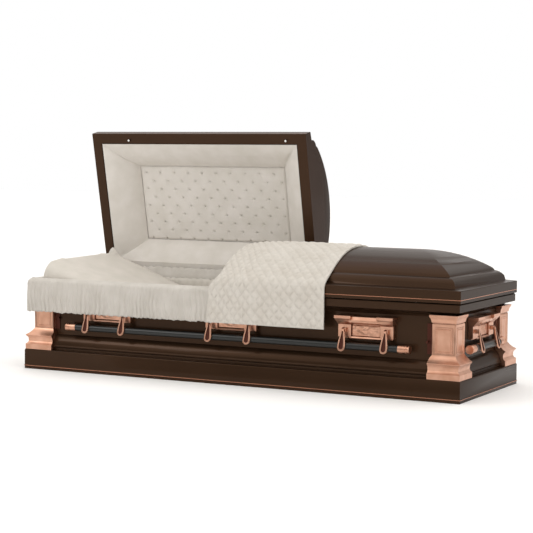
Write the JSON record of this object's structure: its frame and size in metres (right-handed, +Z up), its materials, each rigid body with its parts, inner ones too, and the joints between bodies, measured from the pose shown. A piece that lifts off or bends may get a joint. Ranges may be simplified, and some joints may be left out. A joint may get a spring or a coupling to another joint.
{
  "type": "funeral casket",
  "caption": "Half-couch steel casket in brown enamel with copper corner posts and swing-bar handles, cream lining, head lid open, quilted throw over the foot lid",
  "frame": {"origin": "centre of the underside of the bottom pan, on the floor", "axes": "+X along the length to the foot end, -Y the front that is seen, +Z up"},
  "size_m": [2.1462, 0.8304, 1.0954],
  "materials": {
    "brown_enamelled_steel": "gloss bronze-brown enamel with a fine metallic flake, sprayed and baked",
    "copper_plated_castings": "satin copper plate, relieved in the hollows and lacquered",
    "black_enamelled_bar": "gloss black-green enamel on drawn tube",
    "bright_nickel": "bright nickel plate",
    "cream_crepe": "matt cream crepe, shirred and tufted",
    "cream_quilting": "matt cream crepe quilted on a diagonal"
  },
  "bodies": {
    "shell": {"body_shell": "brown_enamelled_steel", "wall_lining": "cream_crepe", "mattress": "cream_crepe", "pillow": "cream_crepe", "extendover": "cream_crepe", "head_rail_hinge": "brown_enamelled_steel", "foot_rail_hinge": "brown_enamelled_steel", "corner_front_head": "copper_plated_castings", "corner_front_foot": "copper_plated_castings", "corner_back_head": "copper_plated_castings", "corner_back_foot": "copper_plated_castings", "front_lug_1": "copper_plated_castings", "front_lug_2": "copper_plated_castings", "front_lug_3": "copper_plated_castings", "back_lug_1": "copper_plated_castings", "back_lug_2": "copper_plated_castings", "back_lug_3": "copper_plated_castings", "head_lug_1": "copper_plated_castings", "foot_lug_1": "copper_plated_castings"},
    "head_lid": {"head_lid": "brown_enamelled_steel", "head_lid_border": "cream_crepe", "head_lid_panel": "cream_crepe", "head_lid_stud_1": "bright_nickel", "head_lid_stud_2": "bright_nickel", "head_lid_hinge": "brown_enamelled_steel"},
    "foot_lid": {"throw": "cream_quilting", "foot_lid": "brown_enamelled_steel", "foot_lid_border": "cream_crepe", "foot_lid_panel": "cream_crepe", "foot_lid_stud_1": "bright_nickel", "foot_lid_stud_2": "bright_nickel", "foot_lid_hinge": "brown_enamelled_steel"},
    "front_handle": {"front_arm_1a": "copper_plated_castings", "front_arm_1b": "copper_plated_castings", "front_arm_2a": "copper_plated_castings", "front_arm_2b": "copper_plated_castings", "front_arm_3a": "copper_plated_castings", "front_arm_3b": "copper_plated_castings", "front_bar": "black_enamelled_bar", "front_tip_a": "copper_plated_castings", "front_tip_b": "copper_plated_castings"},
    "back_handle": {"back_arm_1a": "copper_plated_castings", "back_arm_1b": "copper_plated_castings", "back_arm_2a": "copper_plated_castings", "back_arm_2b": "copper_plated_castings", "back_arm_3a": "copper_plated_castings", "back_arm_3b": "copper_plated_castings", "back_bar": "black_enamelled_bar", "back_tip_a": "copper_plated_castings", "back_tip_b": "copper_plated_castings"},
    "head_handle": {"head_arm_1a": "copper_plated_castings", "head_arm_1b": "copper_plated_castings", "head_bar": "black_enamelled_bar", "head_tip_a": "copper_plated_castings", "head_tip_b": "copper_plated_castings"},
    "foot_handle": {"foot_arm_1a": "copper_plated_castings", "foot_arm_1b": "copper_plated_castings", "foot_bar": "black_enamelled_bar", "foot_tip_a": "copper_plated_castings", "foot_tip_b": "copper_plated_castings"}
  },
  "joints": [
    {"name": "head_lid_hinge", "type": "hinge", "parent": "shell", "child": "head_lid", "pos_m": [0, 0.3485, 0.4095], "axis": [1, 0, 0], "range_deg": [0, 78], "deforming": ["pillow", "extendover", "throw"]},
    {"name": "foot_lid_hinge", "type": "hinge", "parent": "shell", "child": "foot_lid", "pos_m": [0, 0.3485, 0.4095], "axis": [-1, 0, 0], "range_deg": [0, 78]},
    {"name": "front_handle_swing", "type": "hinge", "parent": "shell", "child": "front_handle", "pos_m": [0, -0.325, 0.268], "axis": [-1, 0, 0], "range_deg": [0, 80]},
    {"name": "back_handle_swing", "type": "hinge", "parent": "shell", "child": "back_handle", "pos_m": [0, 0.325, 0.268], "axis": [1, 0, 0], "range_deg": [0, 80]},
    {"name": "head_handle_swing", "type": "hinge", "parent": "shell", "child": "head_handle", "pos_m": [-1.04, 0, 0.268], "axis": [0, 1, 0], "range_deg": [0, 80]},
    {"name": "foot_handle_swing", "type": "hinge", "parent": "shell", "child": "foot_handle", "pos_m": [1.04, 0, 0.268], "axis": [0, -1, 0], "range_deg": [0, 80]}
  ]
}
